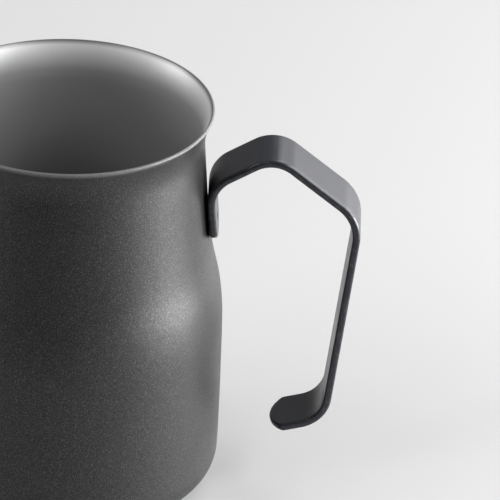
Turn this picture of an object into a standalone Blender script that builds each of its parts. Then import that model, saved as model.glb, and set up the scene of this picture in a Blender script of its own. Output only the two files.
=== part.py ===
"""Milk frothing pitcher: a one-piece drawn jug with a flared rim and a pressed spout, and a flat strap handle
held to the neck by two welds.

Metres, +Z up. The origin is on the jug's axis in the plane it stands on, +X points to the handle and -X to the
spout. The object is a mirror image of itself across the XZ plane.
"""

import math

import bpy
from mathutils import Vector

MM = 0.001

# Jug body: outer sizes
BODY_HEIGHT = 105.2 * MM
RIM_RADIUS = 37.5 * MM
WAIST_RADIUS = 35.1 * MM
BELLY_RADIUS = 41.0 * MM
FOOT_RADIUS = 40.7 * MM
BASE_FILLET = 9.0 * MM
WALL = 0.8 * MM
RIM_EDGE = 0.2 * MM

# Heights that follow the body's height
WAIST_HEIGHT = 0.910 * BODY_HEIGHT
BELLY_HEIGHT = 0.390 * BODY_HEIGHT

# How the neck widens: share of the way down from waist to belly, share of the widening done there
NECK_SHAPE = ((0.0, 0.0), (0.14, 0.09), (0.34, 0.245), (0.55, 0.485), (0.72, 0.83), (0.86, 0.975), (1.0, 1.0))
FLARE_POWER = 2.3
FOOT_TAPER_POWER = 3

# Spout: two walls that leave the round body along its tangents and meet in a rounded nose
SPOUT_HALF_ANGLE = math.radians(41.0)
SPOUT_NOSE_ANGLE = math.radians(6.5)
SPOUT_DEPTH = 36.0 * MM
SPOUT_POWER = 1.7
SPOUT_FOOT_WIDTH = 0.55

# Strap handle
STRAP_WIDTH = 15.2 * MM
STRAP_THICKNESS = 2.0 * MM
STRAP_EDGE = 0.55 * MM
STRAP_END_RADIUS = 10.0 * MM
WELD_GAP = 0.3 * MM

# Handle corners on the finger side, before the bends are rounded: distance from the axis, and height
FOOT_END_HEIGHT = 0.669 * BODY_HEIGHT
FOOT_BEND_HEIGHT = 0.8195 * BODY_HEIGHT
PEAK_OUT, PEAK_HEIGHT = 53.05 * MM, 0.9057 * BODY_HEIGHT
GRIP_TOP_OUT, GRIP_TOP_HEIGHT = 74.15 * MM, 0.7469 * BODY_HEIGHT
GRIP_FOOT_OUT, GRIP_FOOT_HEIGHT = 67.25 * MM, 0.2028 * BODY_HEIGHT
TIP_LENGTH = 13.8 * MM
TIP_DROOP = math.radians(14.6)
BEND_RADII = (7.65 * MM, 7.5 * MM, 10.3 * MM, 8.0 * MM)

# Welds between the strap and the neck
WELD_RADIUS = 1.0 * MM
WELD_CLEARANCE = 0.3 * MM
WELD_SINK = 0.25 * MM
WELD_FROM_END = 4.8 * MM
WELD_PITCH = 7.0 * MM

# Mesh fineness
RING_STEPS = 72
FLARE_ROWS = 5
NECK_ROWS = 12
BELLY_ROWS = 3
FILLET_ROWS = 6
STRAP_COLUMNS = 8
BEND_ROWS = 7
BULGE_SAMPLES = 12
WELD_SIDES = 20
SMOOTH_BELOW = math.radians(35.0)


def clear_scene():
    for old in list(bpy.data.objects):
        bpy.data.objects.remove(old, do_unlink=True)


def new_collection(name):
    collection = bpy.data.collections.new(name)
    bpy.context.scene.collection.children.link(collection)
    return collection


def material(name, colour, roughness, metallic):
    made = bpy.data.materials.new(name)
    made.use_nodes = True
    shader = made.node_tree.nodes["Principled BSDF"]
    shader.inputs["Base Color"].default_value = (*colour, 1.0)
    shader.inputs["Roughness"].default_value = roughness
    shader.inputs["Metallic"].default_value = metallic
    made.diffuse_color = (*colour, 1.0)
    return made


def add_mesh(name, points, edges, faces, collection):
    mesh = bpy.data.meshes.new(name)
    mesh.from_pydata(points, edges, faces)
    mesh.update()
    made = bpy.data.objects.new(name, mesh)
    collection.objects.link(made)
    return made


def modifier(target, kind, **settings):
    made = target.modifiers.new(kind.title(), kind)
    for key, value in settings.items():
        setattr(made, key, value)
    return made


def bake(target):
    """Replaces the object's mesh with the one its modifiers make."""
    graph = bpy.context.evaluated_depsgraph_get()
    mesh = bpy.data.meshes.new_from_object(target.evaluated_get(graph))
    target.modifiers.clear()
    target.data = mesh


def finish(target, look):
    target.data.materials.clear()
    target.data.materials.append(look)
    target.data.shade_smooth()
    target.data.set_sharp_from_angle(angle=SMOOTH_BELOW)


def blend(points, x):
    """A smooth curve through (x, y) points."""
    last = len(points) - 1
    i = 0
    while i < last - 1 and x > points[i + 1][0]:
        i += 1

    def slope(k):
        a, b = points[max(k - 1, 0)], points[min(k + 1, last)]
        return (b[1] - a[1]) / (b[0] - a[0])

    (x0, y0), (x1, y1) = points[i], points[i + 1]
    span = x1 - x0
    t = (x - x0) / span
    start, end = slope(i) * span, slope(i + 1) * span
    ends = (2 * t**3 - 3 * t**2 + 1) * y0 + (3 * t**2 - 2 * t**3) * y1
    return ends + (t**3 - 2 * t**2 + t) * start + (t**3 - t**2) * end


def body_radius(z):
    """Outer radius of the round body above its base fillet."""
    if z >= WAIST_HEIGHT:
        up = (z - WAIST_HEIGHT) / (BODY_HEIGHT - WAIST_HEIGHT)
        return WAIST_RADIUS + (RIM_RADIUS - WAIST_RADIUS) * up**FLARE_POWER
    if z <= BELLY_HEIGHT:
        up = (z - BASE_FILLET) / (BELLY_HEIGHT - BASE_FILLET)
        return BELLY_RADIUS - (BELLY_RADIUS - FOOT_RADIUS) * (1 - up) ** FOOT_TAPER_POWER
    down = (WAIST_HEIGHT - z) / (WAIST_HEIGHT - BELLY_HEIGHT)
    return WAIST_RADIUS + (BELLY_RADIUS - WAIST_RADIUS) * blend(NECK_SHAPE, down)


def body_profile():
    """(radius, height) down the outside of the body, from the rim to the middle of the base."""
    heights = []
    for top, bottom, rows in (
        (BODY_HEIGHT, WAIST_HEIGHT, FLARE_ROWS),
        (WAIST_HEIGHT, BELLY_HEIGHT, NECK_ROWS),
        (BELLY_HEIGHT, BASE_FILLET, BELLY_ROWS),
    ):
        heights += [top + (bottom - top) * i / rows for i in range(rows)]
    profile = [(body_radius(z), z) for z in heights]
    flat_radius = FOOT_RADIUS - BASE_FILLET
    for i in range(FILLET_ROWS + 1):
        turn = math.pi / 2 * i / FILLET_ROWS
        profile.append((flat_radius + BASE_FILLET * math.cos(turn), BASE_FILLET * (1 - math.sin(turn))))
    return profile + [(flat_radius / 2, 0.0), (0.0, 0.0)]


def spout_stretch(angle_from_nose, z):
    """How far the spout pushes the wall out, as a factor on the radius."""
    rise = (z - (BODY_HEIGHT - SPOUT_DEPTH)) / SPOUT_DEPTH
    if rise <= 0:
        return 1.0
    half = SPOUT_HALF_ANGLE * (SPOUT_FOOT_WIDTH + (1 - SPOUT_FOOT_WIDTH) * rise)
    from_nose = math.hypot(angle_from_nose, SPOUT_NOSE_ANGLE)
    reach = 1 / math.cos(max(0.0, half - from_nose)) - 1
    return 1 + reach * rise**SPOUT_POWER


def make_body(collection):
    profile = body_profile()
    points = [(r, 0.0, z) for r, z in profile]
    edges = [(i, i + 1) for i in range(len(points) - 1)]
    body = add_mesh("pitcher_body", points, edges, [], collection)
    modifier(
        body,
        "SCREW",
        steps=RING_STEPS,
        render_steps=RING_STEPS,
        use_merge_vertices=True,
        merge_threshold=0.00001,
    )
    bake(body)
    for vertex in body.data.vertices:
        x, y, z = vertex.co
        stretch = spout_stretch(abs(math.atan2(y, -x)), z)
        vertex.co = (x * stretch, y * stretch, z)
    modifier(body, "SOLIDIFY", thickness=WALL, offset=-1.0, use_even_offset=True)
    modifier(body, "BEVEL", width=RIM_EDGE, segments=1, limit_method="ANGLE", angle_limit=math.radians(60.0))
    bake(body)
    return body


def rounded_path(corners, radii):
    """The path through the corners, with an arc in place of each inner one."""
    path = [corners[0]]
    for before, corner, after, radius in zip(corners, corners[1:], corners[2:], radii):
        back, ahead = (before - corner).normalized(), (after - corner).normalized()
        half = back.angle(ahead) / 2
        centre = corner + (back + ahead).normalized() * radius / math.sin(half)
        spoke = corner + back * radius / math.tan(half) - centre
        sweep = math.copysign(math.pi - 2 * half, back.cross(ahead))
        for i in range(BEND_ROWS + 1):
            turn = -sweep * i / BEND_ROWS
            c, s = math.cos(turn), math.sin(turn)
            path.append(centre + Vector((c * spoke.x - s * spoke.y, s * spoke.x + c * spoke.y)))
    path.append(corners[-1])
    return path


def foot_line():
    """The finger side of the welded foot, as its end and its bend: straight, and clear of the neck all the way."""
    end, bend = FOOT_END_HEIGHT, FOOT_BEND_HEIGHT
    bulge = 0.0
    for i in range(BULGE_SAMPLES + 1):
        share = i / BULGE_SAMPLES
        chord = body_radius(end) * (1 - share) + body_radius(bend) * share
        bulge = max(bulge, body_radius(end * (1 - share) + bend * share) - chord)
    off = bulge + WELD_GAP + STRAP_THICKNESS
    return Vector((body_radius(end) + off, end)), Vector((body_radius(bend) + off, bend))


def handle_path():
    grip_foot = Vector((GRIP_FOOT_OUT, GRIP_FOOT_HEIGHT))
    tip = grip_foot - TIP_LENGTH * Vector((math.cos(TIP_DROOP), math.sin(TIP_DROOP)))
    peak = Vector((PEAK_OUT, PEAK_HEIGHT))
    grip_top = Vector((GRIP_TOP_OUT, GRIP_TOP_HEIGHT))
    return rounded_path([*foot_line(), peak, grip_top, grip_foot, tip], BEND_RADII)


def add_strap(name, path, collection):
    """A flat strap bent along the path, which is its finger side, with both of its ends cut to an arc."""
    half_angle = math.asin(STRAP_WIDTH / 2 / STRAP_END_RADIUS)
    points = []
    for i, point in enumerate(path):
        inward = Vector((0.0, 0.0))
        if i == 0:
            inward = (path[1] - path[0]).normalized()
        elif i == len(path) - 1:
            inward = (path[-2] - path[-1]).normalized()
        for j in range(STRAP_COLUMNS):
            angle = half_angle * (2 * j / (STRAP_COLUMNS - 1) - 1)
            place = point + inward * STRAP_END_RADIUS * (1 - math.cos(angle))
            points.append((place.x, STRAP_END_RADIUS * math.sin(angle), place.y))
    faces = []
    for i in range(len(path) - 1):
        for j in range(STRAP_COLUMNS - 1):
            a = i * STRAP_COLUMNS + j
            faces.append((a, a + 1, a + 1 + STRAP_COLUMNS, a + STRAP_COLUMNS))
    strap = add_mesh(name, points, [], faces, collection)
    modifier(strap, "SOLIDIFY", thickness=STRAP_THICKNESS, offset=-1.0, use_even_offset=True)
    modifier(strap, "BEVEL", width=STRAP_EDGE, segments=2, limit_method="ANGLE", angle_limit=SMOOTH_BELOW)
    bake(strap)
    return strap


def add_rod(name, radius, start, end, collection):
    bpy.ops.mesh.primitive_cylinder_add(
        vertices=WELD_SIDES,
        radius=radius,
        depth=(end - start).length,
        location=(start + end) / 2,
        rotation=(end - start).to_track_quat("Z", "Y").to_euler(),
    )
    rod = bpy.context.object
    rod.name = name
    for linked in list(rod.users_collection):
        linked.objects.unlink(rod)
    collection.objects.link(rod)
    return rod


def make_handle(collection, cutters):
    """The strap, and the two welds in its foot."""
    path = handle_path()
    strap = add_strap("handle_strap", path, collection)
    along = (path[1] - path[0]).normalized()
    out = Vector((along.y, 0.0, -along.x))
    welds = []
    for i, name in enumerate(("weld_plug_lower", "weld_plug_upper")):
        spot = path[0] + along * (WELD_FROM_END + WELD_PITCH * i)
        face = Vector((spot.x, 0.0, spot.y))
        back = face - out * STRAP_THICKNESS
        cutter = add_rod(
            "hole_for_" + name,
            WELD_RADIUS + WELD_CLEARANCE,
            back - out * WELD_GAP,
            face + out * WELD_GAP,
            cutters,
        )
        cutter.hide_render = True
        cutter.display_type = "WIRE"
        modifier(strap, "BOOLEAN", object=cutter, operation="DIFFERENCE", solver="EXACT")
        welds.append(add_rod(name, WELD_RADIUS, back, face - out * WELD_SINK, collection))
    bake(strap)
    return strap, welds


def main():
    clear_scene()
    pitcher = new_collection("milk_frothing_pitcher")
    cutters = new_collection("cutters")
    cutters.hide_render = True
    body = make_body(pitcher)
    strap, welds = make_handle(pitcher, cutters)
    finish(body, material("coated_steel", (0.040, 0.040, 0.043), 0.45, 0.25))
    satin_black = material("satin_black_steel", (0.012, 0.012, 0.013), 0.38, 0.20)
    finish(strap, satin_black)
    weld_metal = material("coated_weld", (0.018, 0.018, 0.019), 0.50, 0.30)
    for weld in welds:
        finish(weld, weld_metal)


main()
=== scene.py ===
"""Looks of the milk frothing pitcher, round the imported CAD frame. Metres, +Z up, handle +X, spout -X."""

import math

import bpy
import numpy as np
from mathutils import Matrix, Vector


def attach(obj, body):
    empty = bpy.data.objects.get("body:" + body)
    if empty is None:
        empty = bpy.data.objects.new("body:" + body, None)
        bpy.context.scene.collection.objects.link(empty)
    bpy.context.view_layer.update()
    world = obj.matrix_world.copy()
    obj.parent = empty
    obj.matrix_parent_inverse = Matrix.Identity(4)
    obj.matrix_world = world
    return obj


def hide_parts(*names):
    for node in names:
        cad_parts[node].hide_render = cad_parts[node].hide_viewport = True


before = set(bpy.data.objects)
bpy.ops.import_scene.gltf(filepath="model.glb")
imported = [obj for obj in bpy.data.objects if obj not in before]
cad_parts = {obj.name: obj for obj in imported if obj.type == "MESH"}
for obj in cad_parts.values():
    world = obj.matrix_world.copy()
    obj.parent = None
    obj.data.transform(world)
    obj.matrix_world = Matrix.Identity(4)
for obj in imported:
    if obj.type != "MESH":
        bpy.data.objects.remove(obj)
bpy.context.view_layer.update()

MM = 0.001

# Jug body, as in the CAD, with a rounded lip that stays inside the CAD's box
BODY_HEIGHT = 105.2 * MM
RIM_RADIUS = 37.5 * MM
WAIST_RADIUS = 35.1 * MM
BELLY_RADIUS = 41.0 * MM
FOOT_RADIUS = 40.7 * MM
BASE_FILLET = 9.0 * MM
WALL = 0.8 * MM
WAIST_HEIGHT = 0.910 * BODY_HEIGHT
BELLY_HEIGHT = 0.390 * BODY_HEIGHT
RIM_DROP = 0.05 * MM
LIP_EDGE = 0.28 * MM

# How the neck widens: share of the way down from waist to belly, share of the widening done there
NECK_SHAPE = ((0.0, 0.0), (0.14, 0.09), (0.34, 0.245), (0.55, 0.485), (0.72, 0.83), (0.86, 0.975), (1.0, 1.0))
FLARE_POWER = 2.3
FOOT_TAPER_POWER = 3

# Spout
SPOUT_HALF_ANGLE = math.radians(41.0)
SPOUT_NOSE_ANGLE = math.radians(6.5)
SPOUT_DEPTH = 36.0 * MM
SPOUT_POWER = 1.7
SPOUT_FOOT_WIDTH = 0.55

# Strap handle
STRAP_WIDTH = 15.2 * MM
STRAP_THICKNESS = 2.0 * MM
STRAP_EDGE = 0.7 * MM
STRAP_END_RADIUS = 10.0 * MM
STRAP_GAP = 0.06 * MM
FOOT_END_HEIGHT = 0.669 * BODY_HEIGHT
FOOT_BEND_HEIGHT = 0.8195 * BODY_HEIGHT
PEAK_OUT, PEAK_HEIGHT = 53.05 * MM, 0.9057 * BODY_HEIGHT
GRIP_TOP_OUT, GRIP_TOP_HEIGHT = 74.15 * MM, 0.7469 * BODY_HEIGHT
GRIP_FOOT_OUT, GRIP_FOOT_HEIGHT = 67.25 * MM, 0.2028 * BODY_HEIGHT
TIP_LENGTH = 13.8 * MM
TIP_DROOP = math.radians(14.6)
BEND_RADII = (7.65 * MM, 7.5 * MM, 10.3 * MM, 8.0 * MM)

# Welds, each in a dimple of the strap's foot
WELD_COUNT = 2
WELD_RADIUS = 0.95 * MM
WELD_CREST = 0.25 * MM
WELD_SINK = 0.49 * MM
WELD_FROM_END = 4.8 * MM
WELD_PITCH = 7.0 * MM
DIMPLE_FLOOR_RADIUS = 1.0 * MM
DIMPLE_RADIUS = 1.3 * MM
DIMPLE_DEPTH = 0.5 * MM

# A weld from its crater over its crown to its foot: share of the radius, share of the crest
WELD_CRATER = ((0.0, 0.55), (0.18, 0.6), (0.34, 0.85))
WELD_CROWN = ((0.5, 1.0), (0.72, 0.9), (0.9, 0.55), (1.0, 0.12), (0.97, 0.0))
WELD_SHAPE = (*WELD_CRATER, *WELD_CROWN)

# Mesh fineness
RING_STEPS = 256
FLARE_ROWS, NECK_ROWS, BELLY_ROWS, FILLET_ROWS, BASE_ROWS, LIP_ROWS = 16, 44, 12, 14, 8, 4
ROWS_UNDER_LIP = 2
EDGE_ROWS = 5
BEND_ROWS = 18
BULGE_SAMPLES = 12
FINE_STEP, COARSE_STEP = 0.14 * MM, 0.9 * MM
END_SPAN = 9.0 * MM
WELD_SIDES = 40

# Coat of the body
COAT_OUTSIDE, COAT_INSIDE = (0.0058, 0.0055, 0.0056), (0.265, 0.265, 0.27)
# The flare colour is a painted highlight: the inside coat turns paler between these two heights, up to the
# rim
COAT_FLARE_PAINTED_HIGHLIGHT, COAT_LIP = (0.50, 0.50, 0.50), (0.13, 0.13, 0.132)
FLARE_HIGHLIGHT_FROM, FLARE_HIGHLIGHT_TO = 98 * MM, 103.8 * MM
COAT_IOR = 1.45
ROUGH_OUTSIDE, ROUGH_INSIDE, ROUGH_VARIES = 0.48, 0.50, 0.04
FLAKE = (0.115, 0.111, 0.111)
FLAKE_FROM, FLAKE_TO = 0.50, 0.68
FLAKE_ROUGHER, LIP_ROUGHER = -0.06, -0.12
METAL_INSIDE, METAL_VARIES = 0.38, 0.04
GRAIN_SIZE, GRAIN_CRISPNESS = 0.27 * MM, 0.7
GRAIN_DEPTH, GRAIN_INSIDE = 0.02 * MM, 0.25
CLOUD_SIZE = 14 * MM
LINE_SIZE, LINE_STRETCH = 0.3 * MM, (0.03, 0.03, 1.0)

# Black of the strap and the welds
STRAP_BLACK, WORN_EDGE = (0.010, 0.0108, 0.016), (0.045, 0.045, 0.047)
STRAP_ROUGH, STRAP_ROUGH_VARIES, STRAP_GRAIN_ROUGH = 0.34, 0.05, 0.03
STRAP_SHADE = (0.8, 1.2)
STRAP_CLOUD_SIZE = 9 * MM
STRAP_GRAIN_SIZE, STRAP_GRAIN_DEPTH = 0.25 * MM, 0.006 * MM
WELD_GRAIN_SIZE, WELD_GRAIN_DEPTH = 0.2 * MM, 0.02 * MM
WEAR_SIZE, WEAR_FROM, WEAR_TO = 1.5 * MM, 0.5, 0.75

# Between these lie nearly all values of a noise
NOISE_LOW, NOISE_HIGH = 0.3, 0.7

# Floor, and a dark card in front of the jug that only its reflections show
FLOOR_REACH = 4.0
FLOOR_COLOUR, FLOOR_ROUGH = (0.45, 0.45, 0.45), 0.5
FLAG_LEFT, FLAG_RIGHT, FLAG_FRONT, FLAG_HEIGHT = -0.5, 0.35, -0.22, 0.3
FLAG_COLOUR, FLAG_ROUGH = (0.02, 0.02, 0.02), 0.9

# Camera
CAMERA_PLACE = (0.06211, -1.60813, 0.94975)
CAMERA_TURN = (1.06793, -0.03209, 0.02675)
CAMERA_SENSOR, CAMERA_LENS = 36.0, 515.68
CAMERA_CLIP = (0.01, 100.0)

# Softboxes, as name, azimuth, elevation, size, watts. The watts were balanced by least squares over one
# render per softbox, then partly changed and rounded.
SOFTBOX_DISTANCE, STRIP_DISTANCE = 2.4, 0.5
SOFTBOX_HEIGHT, STRIP_HEIGHT = 0.06, 0.05
LOW, HIGH, STRIP = (0.8, 1.0), (1.2, 1.0), (0.3, 0.08)
SOFTBOXES = (
    ("key_handle_side", 80, 12, LOW, 36),
    ("key_edge", 112.5, 12, LOW, 8),
    ("back_low_wide", 135, 12, LOW, 22),
    ("back_low", 157.5, 12, LOW, 2),
    ("spout_side", 270, 12, LOW, 27),
    ("front_high_right", 60, 38, HIGH, 24),
    ("handle_high", 90, 38, HIGH, 38),
    ("back_high_right", 150, 38, HIGH, 17),
    ("front_high_left", 300, 38, HIGH, 18),
)
STRIPS = (("bounce_front", 70, 0.55), ("bounce_handle", 90, 1.75), ("bounce_back", 110, 1.6))
ROOM = (0.3, 0.3, 0.3, 1.0)


# ---------------------------------------------------------------- shapes


def blend(points, x):
    """A smooth curve through (x, y) points."""
    last = len(points) - 1
    i = 0
    while i < last - 1 and x > points[i + 1][0]:
        i += 1

    def slope(k):
        a, b = points[max(k - 1, 0)], points[min(k + 1, last)]
        return (b[1] - a[1]) / (b[0] - a[0])

    (x0, y0), (x1, y1) = points[i], points[i + 1]
    span = x1 - x0
    t = (x - x0) / span
    start, end = slope(i) * span, slope(i + 1) * span
    ends = (2 * t**3 - 3 * t**2 + 1) * y0 + (3 * t**2 - 2 * t**3) * y1
    return ends + (t**3 - 2 * t**2 + t) * start + (t**3 - t**2) * end


def body_radius(z):
    """Outer radius of the round body above its base fillet."""
    if z >= WAIST_HEIGHT:
        up = (z - WAIST_HEIGHT) / (BODY_HEIGHT - WAIST_HEIGHT)
        return WAIST_RADIUS + (RIM_RADIUS - WAIST_RADIUS) * up**FLARE_POWER
    if z <= BELLY_HEIGHT:
        up = (z - BASE_FILLET) / (BELLY_HEIGHT - BASE_FILLET)
        return BELLY_RADIUS - (BELLY_RADIUS - FOOT_RADIUS) * (1 - up) ** FOOT_TAPER_POWER
    down = (WAIST_HEIGHT - z) / (WAIST_HEIGHT - BELLY_HEIGHT)
    return WAIST_RADIUS + (BELLY_RADIUS - WAIST_RADIUS) * blend(NECK_SHAPE, down)


def body_profile():
    """(radius, height) down the outside, from the rim to near the middle of the base."""
    heights = []
    for top, bottom, rows in (
        (BODY_HEIGHT - RIM_DROP, WAIST_HEIGHT, FLARE_ROWS),
        (WAIST_HEIGHT, BELLY_HEIGHT, NECK_ROWS),
        (BELLY_HEIGHT, BASE_FILLET, BELLY_ROWS),
    ):
        heights += [top + (bottom - top) * i / rows for i in range(rows)]
    profile = [(body_radius(z), z) for z in heights]
    flat = FOOT_RADIUS - BASE_FILLET
    for i in range(FILLET_ROWS):
        turn = math.pi / 2 * i / FILLET_ROWS
        profile.append((flat + BASE_FILLET * math.cos(turn), BASE_FILLET * (1 - math.sin(turn))))
    profile += [(flat * (1 - i / BASE_ROWS), 0.0) for i in range(BASE_ROWS)]
    return np.array(profile)


def spout_stretch(angle_from_nose, z):
    """How far the spout pushes the wall out, as a factor on the radius."""
    rise = np.clip((z - (BODY_HEIGHT - SPOUT_DEPTH)) / SPOUT_DEPTH, 0.0, None)
    half = SPOUT_HALF_ANGLE * (SPOUT_FOOT_WIDTH + (1 - SPOUT_FOOT_WIDTH) * rise)
    from_nose = np.hypot(angle_from_nose, SPOUT_NOSE_ANGLE)
    reach = 1 / np.cos(np.clip(half - from_nose, 0.0, None)) - 1
    return 1 + reach * rise**SPOUT_POWER


def unit(vectors):
    return vectors / np.linalg.norm(vectors, axis=-1, keepdims=True)


def new_object(name, points, faces):
    mesh = bpy.data.meshes.new(name)
    mesh.from_pydata([tuple(p) for p in points], [], faces)
    mesh.update()
    mesh.shade_smooth()
    made = bpy.data.objects.new(name, mesh)
    bpy.context.scene.collection.objects.link(made)
    return made


def float_attribute(mesh, name, values):
    made = mesh.attributes.new(name, "FLOAT", "POINT")
    made.data.foreach_set("value", np.asarray(values, np.float32))


def rings(rows, steps):
    """Quads between closed rings of points, one ring after the other."""
    faces = []
    for i in range(rows - 1):
        for j in range(steps):
            a, b = i * steps + j, i * steps + (j + 1) % steps
            faces.append((a, b, b + steps, a + steps))
    return faces


def lip_arc(start, along, across):
    """The quarter turn from a wall's side, where it starts, to the lip's flat top."""
    turns = np.linspace(0, math.pi / 2, LIP_ROWS + 1)[:, None, None]
    return start + across * LIP_EDGE * (1 - np.cos(turns)) + along * LIP_EDGE * np.sin(turns)


def body_sides():
    """The outer wall as rings of points from rim to base, and the directions up and inward at each point."""
    profile = body_profile()
    angles = np.arange(RING_STEPS) * 2 * math.pi / RING_STEPS
    height = np.repeat(profile[:, 1:], RING_STEPS, 1)
    from_nose = np.abs(np.angle(np.exp(1j * (angles - math.pi))))
    radius = profile[:, :1] * spout_stretch(from_nose[None], height)
    outer = np.stack([radius * np.cos(angles), radius * np.sin(angles), height], -1)
    down = unit(np.gradient(outer, axis=0))
    around = unit(np.roll(outer, -1, 1) - np.roll(outer, 1, 1))
    return outer, -down, unit(np.cross(around, down))


def make_body():
    """The body's wall with its spout, its rounded lip and its inside."""
    outer, up, inward = body_sides()
    inner = outer + inward * WALL
    inner_arc = lip_arc(inner[0] - up[0] * LIP_EDGE, up[0], -inward[0])
    outer_arc = lip_arc(outer[0] - up[0] * LIP_EDGE, up[0], inward[0])
    inner, outer = inner[ROWS_UNDER_LIP:], outer[ROWS_UNDER_LIP:]
    wall = np.concatenate([inner[::-1], inner_arc, outer_arc[::-1], outer])
    points = np.vstack([wall.reshape(-1, 3), [0, 0, WALL], [0, 0, 0]])
    middle_in, middle_out = len(points) - 2, len(points) - 1
    last = (len(wall) - 1) * RING_STEPS
    faces = rings(len(wall), RING_STEPS)
    for j in range(RING_STEPS):
        k = (j + 1) % RING_STEPS
        faces += [(middle_in, k, j), (middle_out, last + j, last + k)]
    body = new_object("body_shell", points, [face[::-1] for face in faces])
    in_rows, lip_rows, out_rows = len(inner), 2 * len(inner_arc), len(outer)
    inside = np.concatenate([np.ones(in_rows), np.linspace(1, 0, lip_rows), np.zeros(out_rows)])
    lip = np.concatenate([np.zeros(in_rows), np.ones(lip_rows), np.zeros(out_rows)])
    float_attribute(body.data, "inside", [*np.repeat(inside, RING_STEPS), 1, 0])
    float_attribute(body.data, "lip", [*np.repeat(lip, RING_STEPS), 0, 0])
    return body


def rounded_path(corners, radii):
    """The path through the corners, with an arc in place of each inner one."""
    path = [corners[0]]
    for before, corner, after, radius in zip(corners, corners[1:], corners[2:], radii):
        back, ahead = (before - corner).normalized(), (after - corner).normalized()
        half = back.angle(ahead) / 2
        centre = corner + (back + ahead).normalized() * radius / math.sin(half)
        spoke = corner + back * radius / math.tan(half) - centre
        sweep = math.copysign(math.pi - 2 * half, back.cross(ahead))
        for i in range(BEND_ROWS + 1):
            turn = -sweep * i / BEND_ROWS
            c, s = math.cos(turn), math.sin(turn)
            path.append(centre + Vector((c * spoke.x - s * spoke.y, s * spoke.x + c * spoke.y)))
    path.append(corners[-1])
    return path


def foot_line():
    """The finger side of the welded foot, as its end and its bend: straight, all but touching the neck."""
    end, bend = FOOT_END_HEIGHT, FOOT_BEND_HEIGHT
    bulge = 0.0
    for i in range(BULGE_SAMPLES + 1):
        share = i / BULGE_SAMPLES
        chord = body_radius(end) * (1 - share) + body_radius(bend) * share
        bulge = max(bulge, body_radius(end * (1 - share) + bend * share) - chord)
    off = bulge + STRAP_GAP + STRAP_THICKNESS
    return Vector((body_radius(end) + off, end)), Vector((body_radius(bend) + off, bend))


def handle_path():
    """The line of the strap's finger side in (x, z), from its foot to its free tip."""
    grip_foot = Vector((GRIP_FOOT_OUT, GRIP_FOOT_HEIGHT))
    tip = grip_foot - TIP_LENGTH * Vector((math.cos(TIP_DROOP), math.sin(TIP_DROOP)))
    peak = Vector((PEAK_OUT, PEAK_HEIGHT))
    grip_top = Vector((GRIP_TOP_OUT, GRIP_TOP_HEIGHT))
    return rounded_path([*foot_line(), peak, grip_top, grip_foot, tip], BEND_RADII)


def steps_between(low, high, fine_low, fine_high):
    """Places from low to high, close together between the two fine limits."""
    places = [np.array([low])]
    for a, b, step in (
        (low, fine_low, COARSE_STEP),
        (fine_low, fine_high, FINE_STEP),
        (fine_high, high, COARSE_STEP),
    ):
        if b > a:
            places.append(np.linspace(a, b, max(2, math.ceil((b - a) / step) + 1))[1:])
    return np.concatenate(places)


def strap_section(inset, columns):
    """The strap's rounded-rectangle outline in (across, through), drawn in by the inset."""
    edge = STRAP_EDGE - inset
    turns = np.linspace(0, math.pi / 2, EDGE_ROWS + 1)[1:-1]
    flat = STRAP_WIDTH / 2 - STRAP_EDGE
    low, high = STRAP_EDGE, STRAP_THICKNESS - STRAP_EDGE
    right = [(flat + edge * math.sin(t), low - edge * math.cos(t)) for t in turns]
    right += [(flat + edge, low), (flat + edge, high)]
    right += [(flat + edge * math.cos(t), high + edge * math.sin(t)) for t in turns]
    finger = [(y, inset) for y in columns]
    back = [(y, STRAP_THICKNESS - inset) for y in columns[::-1]]
    left = [(-y, n) for y, n in right[::-1]]
    return np.array(finger + right + back + left)


def weld_spots():
    """How far along the strap's foot the welds lie."""
    return [WELD_FROM_END + WELD_PITCH * i for i in range(WELD_COUNT)]


def dimple(across, along):
    """How deep the finger side of the foot is sunk round the welds."""
    depth = np.zeros(np.broadcast(across, along).shape)
    for spot in weld_spots():
        off = np.hypot(across, along - spot)
        t = np.clip((DIMPLE_RADIUS - off) / (DIMPLE_RADIUS - DIMPLE_FLOOR_RADIUS), 0, 1)
        depth += DIMPLE_DEPTH * t * t * (3 - 2 * t)
    return depth


def strap_rows(lengths):
    """Each row's place along the strap and how far its outline is drawn in, with both ends rolled off."""
    total, welds = lengths[-1], weld_spots()
    low, high = welds[0] - 2 * DIMPLE_RADIUS, welds[-1] + 2 * DIMPLE_RADIUS
    middle = steps_between(STRAP_EDGE, total - STRAP_EDGE, low, high)
    middle = np.union1d(middle, lengths[(lengths > STRAP_EDGE) & (lengths < total - STRAP_EDGE)])
    turns = np.linspace(0, math.pi / 2, EDGE_ROWS + 1)[:-1]
    roll, inset = STRAP_EDGE * (1 - np.cos(turns)), STRAP_EDGE * (1 - np.sin(turns))
    places = np.concatenate([roll, middle, total - roll[::-1]])
    return places, np.concatenate([inset, np.zeros(len(middle)), inset[::-1]])


def strap_caps(columns, size, far):
    """Faces over both ends: a strip between finger and back sides, and one face over each rounded edge."""
    faces = []
    back = columns + 2 * EDGE_ROWS
    for a in range(columns - 1):
        b = a + 1
        c, d = back + columns - 1 - b, back + columns - 1 - a
        faces += [(a, d, c, b), (far + a, far + b, far + c, far + d)]
    for loop in ([*range(columns - 1, back + 1)], [*range(back + columns - 1, size), 0]):
        faces += [tuple(loop[::-1]), tuple(far + k for k in loop)]
    return faces


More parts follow.
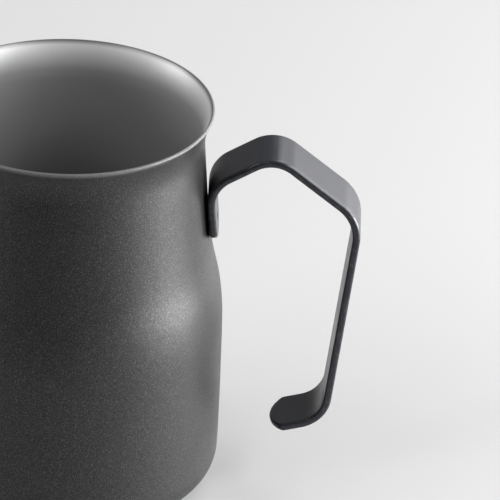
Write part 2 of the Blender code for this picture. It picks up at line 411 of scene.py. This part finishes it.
def make_strap():
    """The bent flat strap with rounded edges, arc ends and a sunk spot round each weld."""
    path = np.array([tuple(p) for p in handle_path()])
    lengths = np.concatenate([[0], np.cumsum(np.linalg.norm(np.diff(path, axis=0), axis=1))])
    total = lengths[-1]
    flat = STRAP_WIDTH / 2 - STRAP_EDGE
    columns = steps_between(-flat, flat, -DIMPLE_RADIUS, DIMPLE_RADIUS)
    places, insets = strap_rows(lengths)
    sections = np.array([strap_section(i, columns) for i in insets])
    across, through = sections[..., 0], sections[..., 1]
    arc = STRAP_END_RADIUS - np.sqrt(STRAP_END_RADIUS**2 - across**2)
    start = np.clip(1 - (places - STRAP_EDGE) / END_SPAN, 0, 1)[:, None]
    end = np.clip(1 - (total - places - STRAP_EDGE) / END_SPAN, 0, 1)[:, None]
    along = places[:, None] + arc * start - arc * end
    through[:, : len(columns)] += dimple(across, along)[:, : len(columns)]
    centre = np.stack([np.interp(along, lengths, path[:, i]) for i in range(2)], -1)
    tangents = np.gradient(path, lengths, axis=0)
    tangent = unit(np.stack([np.interp(along, lengths, tangents[:, i]) for i in range(2)], -1))
    x = centre[..., 0] - tangent[..., 1] * through
    z = centre[..., 1] + tangent[..., 0] * through
    points = np.stack([x, across, z], -1).reshape(-1, 3)
    size = sections.shape[1]
    faces = rings(len(places), size) + strap_caps(len(columns), size, (len(places) - 1) * size)
    strap = new_object("strap_handle", points, faces)
    near_edge = np.clip((np.abs(across) - flat) / STRAP_EDGE, 0, 1)
    float_attribute(strap.data, "edge", near_edge.reshape(-1))
    return strap


def make_weld(name, from_end):
    """A button of weld metal with a low crown and a small crater, lying in its dimple."""
    foot, bend = foot_line()
    along = (bend - foot).normalized()
    out, up, side = Vector((along.y, 0, -along.x)), Vector((along.x, 0, along.y)), Vector((0, 1, 0))
    spot = foot + along * from_end
    base = Vector((spot.x, 0, spot.y)) - out * WELD_SINK
    points = []
    for radius_share, crest_share in WELD_SHAPE[1:]:
        middle, radius = base + out * (crest_share * WELD_CREST), radius_share * WELD_RADIUS
        for k in range(WELD_SIDES):
            turn = 2 * math.pi * k / WELD_SIDES
            points.append(middle + (up * math.cos(turn) + side * math.sin(turn)) * radius)
    points.append(base + out * (WELD_SHAPE[0][1] * WELD_CREST))
    centre, last = len(points) - 1, len(points) - 1 - WELD_SIDES
    faces = rings(len(WELD_SHAPE) - 1, WELD_SIDES)
    faces += [(centre, (k + 1) % WELD_SIDES, k) for k in range(WELD_SIDES)]
    faces.append(tuple(last + k for k in range(WELD_SIDES)))
    return new_object(name, points, faces)


# ---------------------------------------------------------------- looks


class Look:
    """A Principled material whose patterns are set in real sizes on the object's own coordinates."""

    def __init__(self, name, **sockets):
        self.material = bpy.data.materials.new(name)
        self.material.use_nodes = True
        self.tree = self.material.node_tree
        self.shader = self.tree.nodes["Principled BSDF"]
        for socket, value in sockets.items():
            self.shader.inputs[socket].default_value = value
        self.place = self.tree.nodes.new("ShaderNodeTexCoord").outputs["Object"]

    def put(self, value, socket):
        if isinstance(value, bpy.types.NodeSocket):
            self.tree.links.new(value, socket)
        else:
            socket.default_value = value

    def node(self, kind, inputs, **settings):
        made = self.tree.nodes.new(kind)
        for key, value in settings.items():
            setattr(made, key, value)
        for key, value in inputs.items():
            self.put(value, made.inputs[key])
        return made

    def noise(self, size, detail, stretch=(1, 1, 1), **more):
        place = self.node("ShaderNodeMapping", {"Vector": self.place, "Scale": stretch}).outputs[0]
        inputs = {"Vector": place, "Scale": 1 / size, "Detail": detail, **more}
        return self.node("ShaderNodeTexNoise", inputs).outputs[0]

    def span(self, value, low, high, start=0.0, end=1.0):
        """The value, taken from start..end to low..high."""
        inputs = {"Value": value, "From Min": start, "From Max": end, "To Min": low, "To Max": high}
        return self.node("ShaderNodeMapRange", inputs).outputs[0]

    def vary(self, noise, middle, by):
        """The noise, taken to a value that strays from the middle by no more than this."""
        return self.span(noise, middle - by, middle + by, NOISE_LOW, NOISE_HIGH)

    def maths(self, operation, a, b):
        return self.node("ShaderNodeMath", {0: a, 1: b}, operation=operation).outputs[0]

    def mix(self, share, a, b):
        made = self.node("ShaderNodeMix", {0: share}, data_type="RGBA")
        for socket, value in ((made.inputs[6], a), (made.inputs[7], b)):
            self.put(value if isinstance(value, bpy.types.NodeSocket) else (*value, 1.0), socket)
        return made.outputs[2]

    def mask(self, name):
        return self.node("ShaderNodeAttribute", {}, attribute_name=name).outputs["Fac"]

    def set(self, socket, value):
        self.tree.links.new(value, self.shader.inputs[socket])

    def bump(self, height, depth):
        self.set("Normal", self.node("ShaderNodeBump", {"Height": height, "Distance": depth}).outputs[0])


def coat_look():
    """Fine metallic flakes in a dark grey coating outside, and a smoother, paler satin inside, with a painted
    highlight up the inside of the flare to the rim.
    """
    look = Look("coated_steel_look", IOR=COAT_IOR)
    inside, lip = look.mask("inside"), look.mask("lip")
    outside = look.maths("SUBTRACT", 1.0, inside)
    grain = look.noise(GRAIN_SIZE, 2.0, Roughness=GRAIN_CRISPNESS)
    cloud = look.noise(CLOUD_SIZE, 2.0)
    lines = look.noise(LINE_SIZE, 2.0, LINE_STRETCH)
    flakes = look.maths("MULTIPLY", look.span(grain, 0.0, 1.0, FLAKE_FROM, FLAKE_TO), outside)
    height = look.node("ShaderNodeSeparateXYZ", {0: look.place}).outputs[2]
    # Painted highlight: the inside colour is made paler with height up the flare towards the rim
    painted_flare_highlight = look.span(height, 0.0, 1.0, FLARE_HIGHLIGHT_FROM, FLARE_HIGHLIGHT_TO)
    coat_colour_and_painted_flare = look.mix(inside, COAT_OUTSIDE, look.mix(painted_flare_highlight, COAT_INSIDE, COAT_FLARE_PAINTED_HIGHLIGHT))
    coat_colour_and_painted_flare = look.mix(lip, coat_colour_and_painted_flare, COAT_LIP)
    look.set("Base Color", look.mix(flakes, coat_colour_and_painted_flare, FLAKE))
    metal_inside = look.maths("MULTIPLY", look.vary(lines, METAL_INSIDE, METAL_VARIES), inside)
    look.set("Metallic", look.maths("MAXIMUM", flakes, metal_inside))
    rough = look.span(inside, ROUGH_OUTSIDE, ROUGH_INSIDE)
    rough = look.maths("ADD", rough, look.vary(cloud, 0.0, ROUGH_VARIES))
    lip_change = look.maths("MULTIPLY", lip, LIP_ROUGHER)
    flake_change = look.maths("MULTIPLY", flakes, FLAKE_ROUGHER)
    look.set("Roughness", look.maths("ADD", rough, look.maths("ADD", lip_change, flake_change)))
    look.bump(look.maths("MULTIPLY", grain, look.span(inside, 1.0, GRAIN_INSIDE)), GRAIN_DEPTH)
    return look.material


def black_look(name, grain_size, depth):
    """Satin black coating with a fine orange-peel, thinner along worn edges."""
    look = Look(name, Metallic=0.0)
    grain = look.noise(grain_size, 3.0)
    cloud = look.noise(STRAP_CLOUD_SIZE, 3.0)
    shade = look.span(grain, *STRAP_SHADE, NOISE_LOW, NOISE_HIGH)
    tinted = look.node("ShaderNodeVectorMath", {0: STRAP_BLACK, 1: shade}, operation="MULTIPLY").outputs[0]
    rubbed = look.span(look.noise(WEAR_SIZE, 4.0), 0.0, 1.0, WEAR_FROM, WEAR_TO)
    wear = look.maths("MULTIPLY", look.mask("edge"), rubbed)
    look.set("Base Color", look.mix(wear, tinted, WORN_EDGE))
    rough = look.vary(cloud, STRAP_ROUGH, STRAP_ROUGH_VARIES)
    fine = look.span(grain, -STRAP_GRAIN_ROUGH, STRAP_GRAIN_ROUGH)
    look.set("Roughness", look.maths("ADD", rough, fine))
    look.bump(grain, depth)
    return look.material


# ---------------------------------------------------------------- studio


def card(name, corners, look_name, colour, roughness):
    """A flat plain sheet of the studio."""
    made = new_object(name, corners, [(0, 1, 2, 3)])
    look = bpy.data.materials.new(look_name)
    look.use_nodes = True
    shader = look.node_tree.nodes["Principled BSDF"]
    shader.inputs["Base Color"].default_value = (*colour, 1.0)
    shader.inputs["Roughness"].default_value = roughness
    made.data.materials.append(look)
    return made


def make_stage():
    far = FLOOR_REACH
    corners = [(-far, -far, 0), (far, -far, 0), (far, far, 0), (-far, far, 0)]
    floor = card("floor", corners, "floor_look", FLOOR_COLOUR, FLOOR_ROUGH)
    ends = ((FLAG_LEFT, 0), (FLAG_RIGHT, 0), (FLAG_RIGHT, FLAG_HEIGHT), (FLAG_LEFT, FLAG_HEIGHT))
    corners = [(x, FLAG_FRONT, z) for x, z in ends]
    flag = card("dark_flag", corners, "flag_look", FLAG_COLOUR, FLAG_ROUGH)
    flag.visible_camera = False
    flag.visible_shadow = False


def make_camera():
    data = bpy.data.cameras.new("camera")
    data.sensor_width, data.lens = CAMERA_SENSOR, CAMERA_LENS
    data.clip_start, data.clip_end = CAMERA_CLIP
    camera = bpy.data.objects.new("camera", data)
    bpy.context.scene.collection.objects.link(camera)
    camera.location, camera.rotation_euler = CAMERA_PLACE, CAMERA_TURN
    bpy.context.scene.camera = camera


def softbox(name, azimuth, elevation, size, power, distance=SOFTBOX_DISTANCE, height=SOFTBOX_HEIGHT):
    """A rectangular softbox that faces the jug. Azimuth 0 is the camera's side and 90 is the handle's."""
    data = bpy.data.lights.new(name, "AREA")
    data.shape = "RECTANGLE"
    data.size, data.size_y = size
    data.energy = power
    light = bpy.data.objects.new(name, data)
    bpy.context.scene.collection.objects.link(light)
    a, e = math.radians(azimuth), math.radians(elevation)
    away = Vector((math.sin(a) * math.cos(e), -math.cos(a) * math.cos(e), math.sin(e)))
    light.location = Vector((0, 0, height)) + away * distance
    light.rotation_euler = (-away).to_track_quat("-Z", "Y").to_euler()
    light.visible_camera = False


def make_lights():
    for facts in SOFTBOXES:
        softbox(*facts)
    for name, azimuth, power in STRIPS:
        softbox(name, azimuth, 0, STRIP, power, STRIP_DISTANCE, STRIP_HEIGHT)
    room = bpy.data.worlds.new("room")
    room.use_nodes = True
    room.node_tree.nodes["Background"].inputs["Color"].default_value = ROOM
    bpy.context.scene.world = room


# ---------------------------------------------------------------- scene


def make_pieces():
    body, strap = make_body(), make_strap()
    low_weld, high_weld = map(make_weld, ("weld_bead_lower", "weld_bead_upper"), weld_spots())
    coat = coat_look()
    black = black_look("satin_black_look", STRAP_GRAIN_SIZE, STRAP_GRAIN_DEPTH)
    weld = black_look("weld_look", WELD_GRAIN_SIZE, WELD_GRAIN_DEPTH)
    for piece, node, slot, look in (
        (body, "pitcher_body", "coated_steel", coat),
        (strap, "handle_strap", "satin_black_steel", black),
        (low_weld, "weld_plug_lower", "coated_weld", weld),
        (high_weld, "weld_plug_upper", "coated_weld", weld),
    ):
        piece.data.materials.append(look)
        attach(piece, "root")
        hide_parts(node)


bpy.context.scene.view_settings.view_transform = "Standard"
make_pieces()
make_stage()
make_camera()
make_lights()
